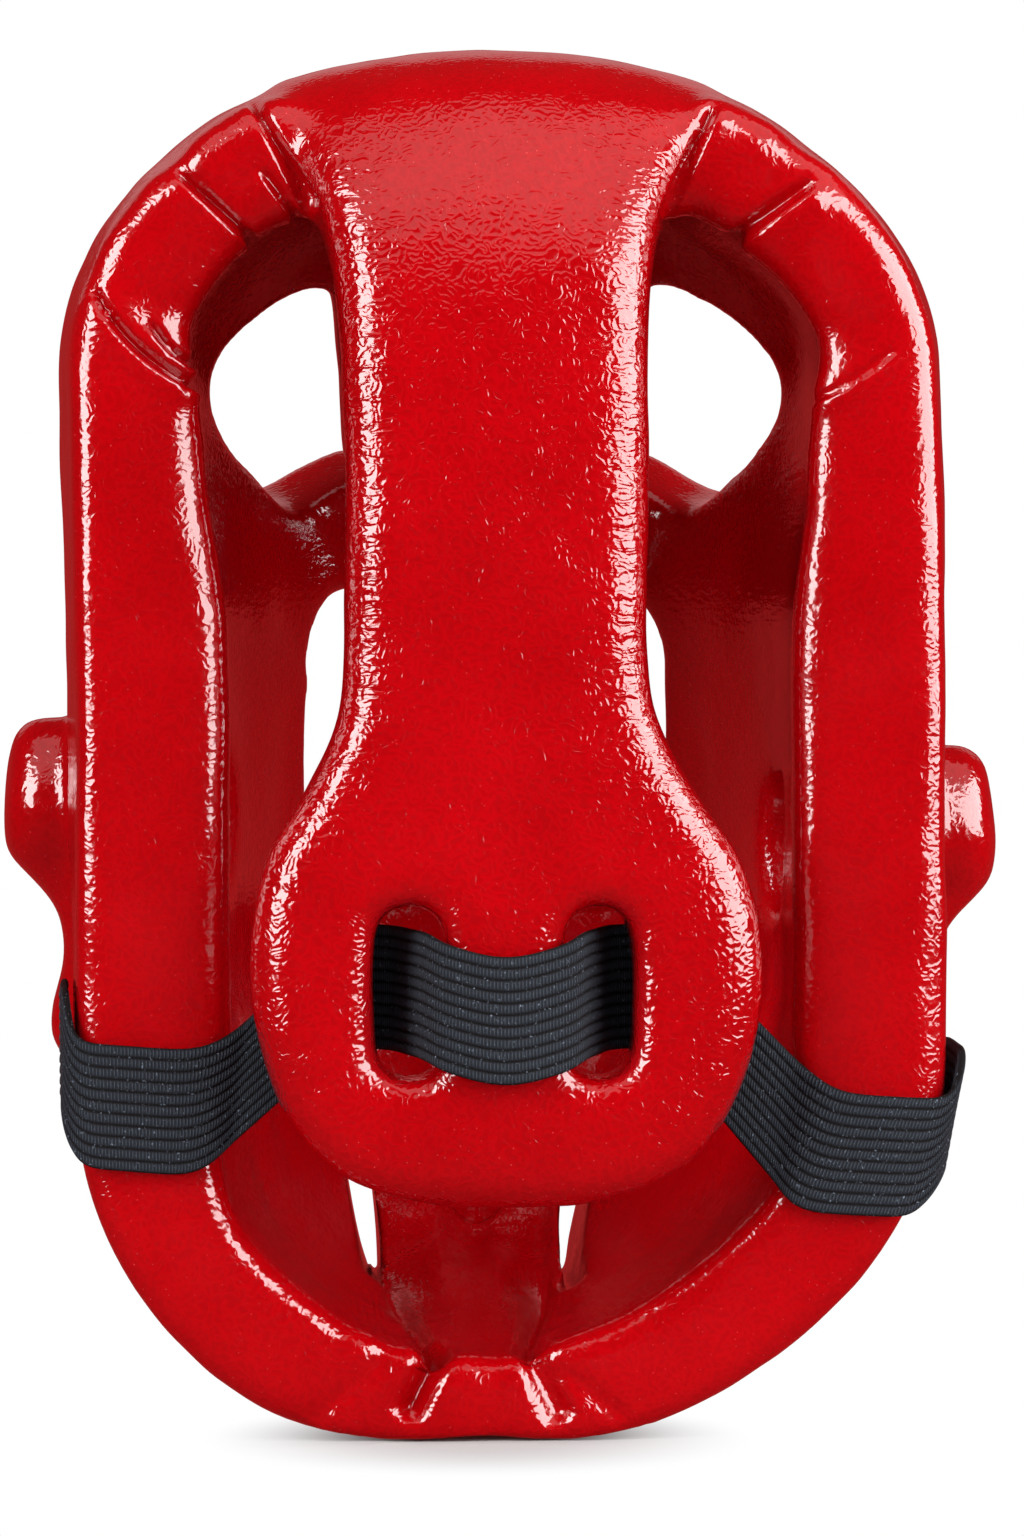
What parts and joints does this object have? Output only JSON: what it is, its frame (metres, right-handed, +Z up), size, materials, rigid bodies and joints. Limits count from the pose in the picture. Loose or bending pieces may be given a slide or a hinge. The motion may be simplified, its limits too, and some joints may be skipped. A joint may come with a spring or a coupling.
{
  "type": "full face sparring helmet",
  "caption": "Padded full face sparring helmet of dip-coated foam with ear pads, top vents, a slotted rear tongue and an elastic strap.",
  "frame": {"origin": "on the floor under the middle of the bounding box of the standing helmet", "axes": "+Z up from the chin to the crown, +Y the way the wearer's face looks, +X to the wearer's right"},
  "size_m": [0.2132, 0.183, 0.2886],
  "materials": {
    "red_vinyl_foam": "glossy red vinyl dip over soft closed-cell foam, finely wrinkled",
    "grey_elastic": "matte dark slate grey ribbed woven elastic"
  },
  "bodies": {
    "root": {"face_shell": "red_vinyl_foam", "crown_strap": "red_vinyl_foam", "ear_pad_left": "red_vinyl_foam", "ear_pad_right": "red_vinyl_foam", "elastic_strap": "grey_elastic"}
  },
  "joints": []
}
